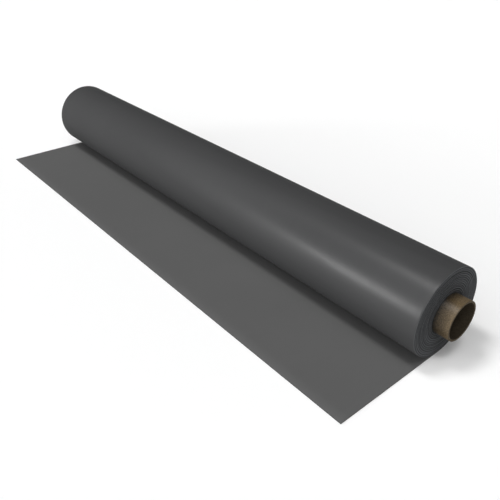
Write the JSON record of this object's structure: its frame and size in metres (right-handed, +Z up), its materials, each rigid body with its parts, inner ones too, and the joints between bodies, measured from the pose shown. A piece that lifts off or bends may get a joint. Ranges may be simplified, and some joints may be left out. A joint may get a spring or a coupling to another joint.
{
  "type": "roll of roofing membrane",
  "caption": "Roll of dark grey PVC roofing membrane on a paper core tube that stands out at each end, lying on its side with its free end laid out flat.",
  "frame": {"origin": "on the floor under the middle of the box around the roll and its free end", "axes": "+X along the roll, +Y from the free end's cut edge towards the roll, +Z up"},
  "size_m": [1.672, 0.4097, 0.2117],
  "materials": {
    "pvc_sheet": "satin",
    "paper_tube": "matte"
  },
  "bodies": {
    "root": {"membrane": "pvc_sheet", "core_tube": "paper_tube"}
  },
  "joints": []
}
